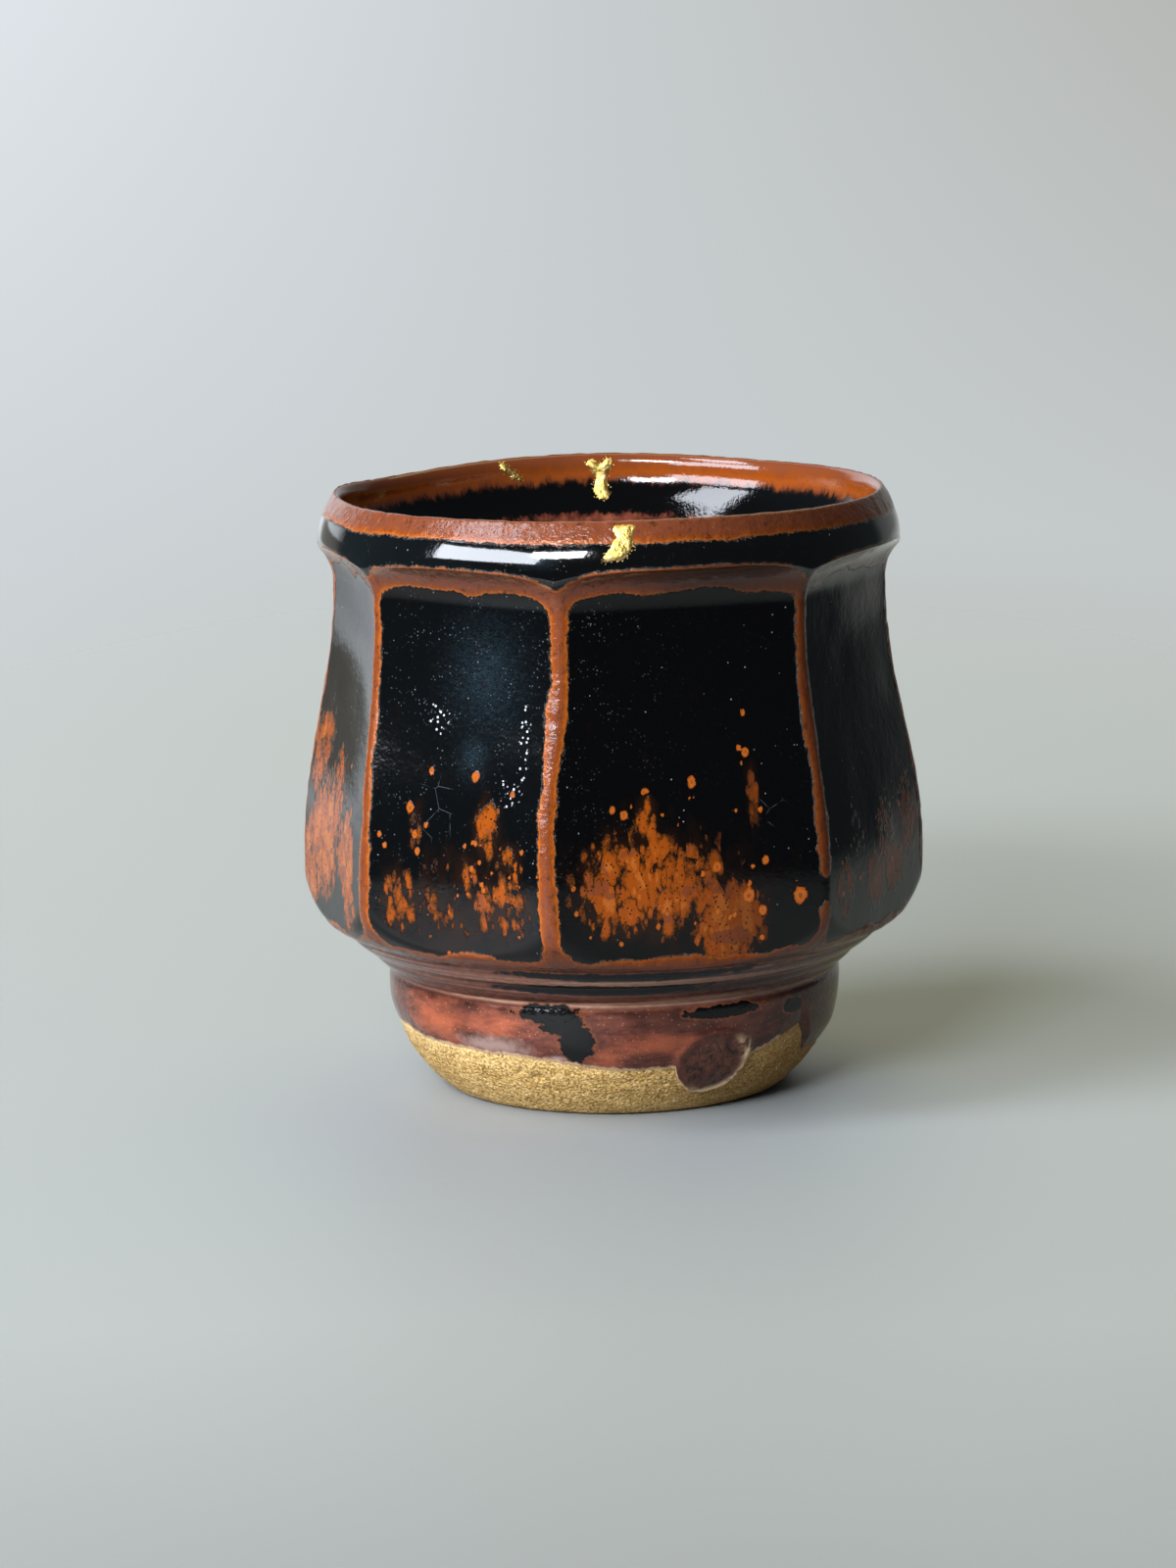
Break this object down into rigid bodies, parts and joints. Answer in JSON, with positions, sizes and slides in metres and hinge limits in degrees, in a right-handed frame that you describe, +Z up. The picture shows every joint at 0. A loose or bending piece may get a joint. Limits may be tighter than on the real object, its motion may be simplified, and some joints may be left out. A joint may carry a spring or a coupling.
{
  "type": "teacup",
  "caption": "Handleless faceted stoneware teacup with a rounded rim band, swelling belly and turned foot, dark iron glaze breaking to rust and gold-mended rim chips.",
  "frame": {"origin": "on the cup's axis, on the plane that the foot ring stands on", "axes": "+Z up along the axis the cup was thrown on, -Y towards the front mend, +X to its right"},
  "size_m": [0.0836, 0.0818, 0.0805],
  "materials": {
    "stoneware": "matte",
    "iron_glaze": "gloss",
    "inner_glaze": "gloss",
    "lacquer_filler": "satin",
    "gold": "satin"
  },
  "bodies": {
    "root": {"clay_body": "stoneware", "outer_glaze": "iron_glaze", "inner_glaze": "inner_glaze", "front_mend_filler": "lacquer_filler", "front_mend_gold": "gold", "back_mend_filler": "lacquer_filler", "back_mend_gold": "gold", "side_mend_filler": "lacquer_filler", "side_mend_gold": "gold"}
  },
  "joints": []
}
